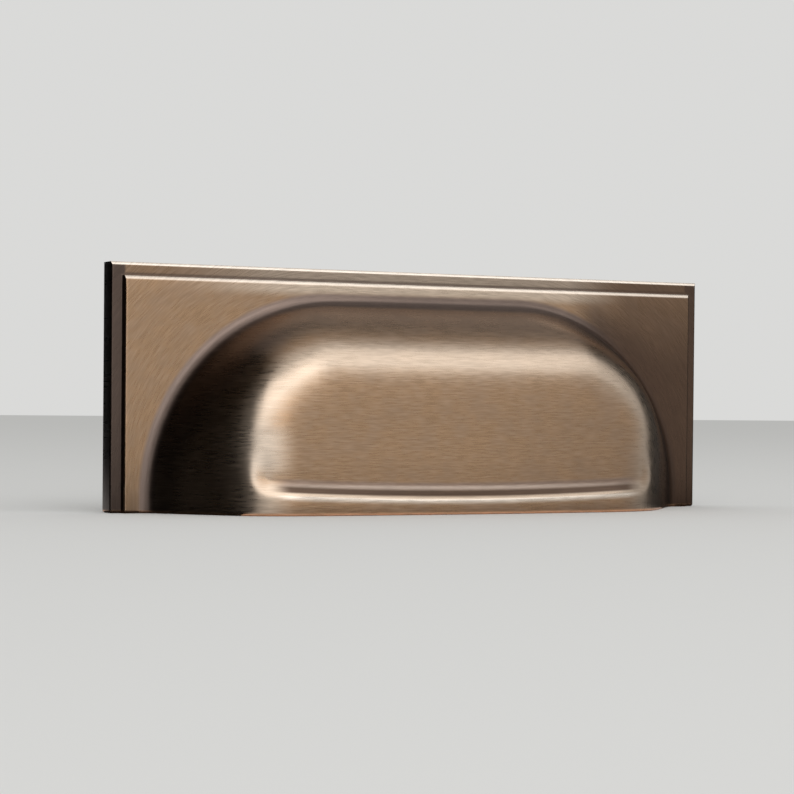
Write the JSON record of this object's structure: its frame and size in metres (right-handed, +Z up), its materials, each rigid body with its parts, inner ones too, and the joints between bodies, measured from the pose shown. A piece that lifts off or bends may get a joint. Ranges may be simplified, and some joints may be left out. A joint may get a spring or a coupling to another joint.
{
  "type": "cabinet handle",
  "caption": "Rectangular stepped backplate with a hollow rounded cup standing out from it, open below with a lip along its lower edge, to pull a drawer or door open with the fingers.",
  "frame": {"origin": "midway between the two fixing holes, in the plane of the cabinet front that the plate lies against", "axes": "+X to the right along the front, +Y into the cabinet front, +Z up, with the open side of the cup facing down"},
  "size_m": [0.11, 0.0218, 0.04],
  "materials": {
    "aged_brass": "brushed and aged to a dark bronze brown, bright along the worn edges"
  },
  "bodies": {
    "root": {"cup_pull": "aged_brass"}
  },
  "joints": []
}
